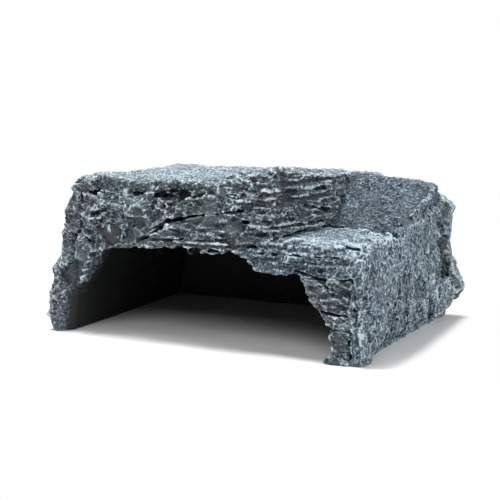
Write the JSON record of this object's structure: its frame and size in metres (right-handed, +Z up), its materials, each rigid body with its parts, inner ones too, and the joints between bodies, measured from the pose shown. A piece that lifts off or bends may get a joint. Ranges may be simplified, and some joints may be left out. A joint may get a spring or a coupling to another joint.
{
  "type": "resin cave ornament",
  "caption": "Hollow resin rock cave for a tank: flat slab roof, arched front mouth, open base, closed back and a stepped ledge on the right.",
  "frame": {"origin": "middle of the footprint of the whole cave, on the surface that it stands on", "axes": "+X along the front, to the right as the mouth is faced; +Y from the mouth to the closed back; +Z up"},
  "size_m": [0.2256, 0.148, 0.0992],
  "materials": {
    "layered_rock": "cast resin, layered rock relief, dark blue-grey paint with pale dry-brushed ridges, matt",
    "pitted_rock": "cast resin, finely pitted rock relief, dark blue-grey paint with pale dry-brushed ridges, matt",
    "slab_rock": "cast resin, rough slab relief, dark blue-grey paint with a heavier pale dry-brushing, matt"
  },
  "bodies": {
    "root": {"left_haunch": "layered_rock", "lintel_upper": "layered_rock", "lintel_lower": "layered_rock", "strata_block": "layered_rock", "right_pier": "layered_rock", "pier_foot": "layered_rock", "ledge_slab": "pitted_rock", "right_wall": "pitted_rock", "riser_block": "pitted_rock", "flank_chip": "pitted_rock", "left_wall": "slab_rock", "left_shoulder": "slab_rock", "roof_slab": "slab_rock", "back_wall": "slab_rock"}
  },
  "joints": []
}
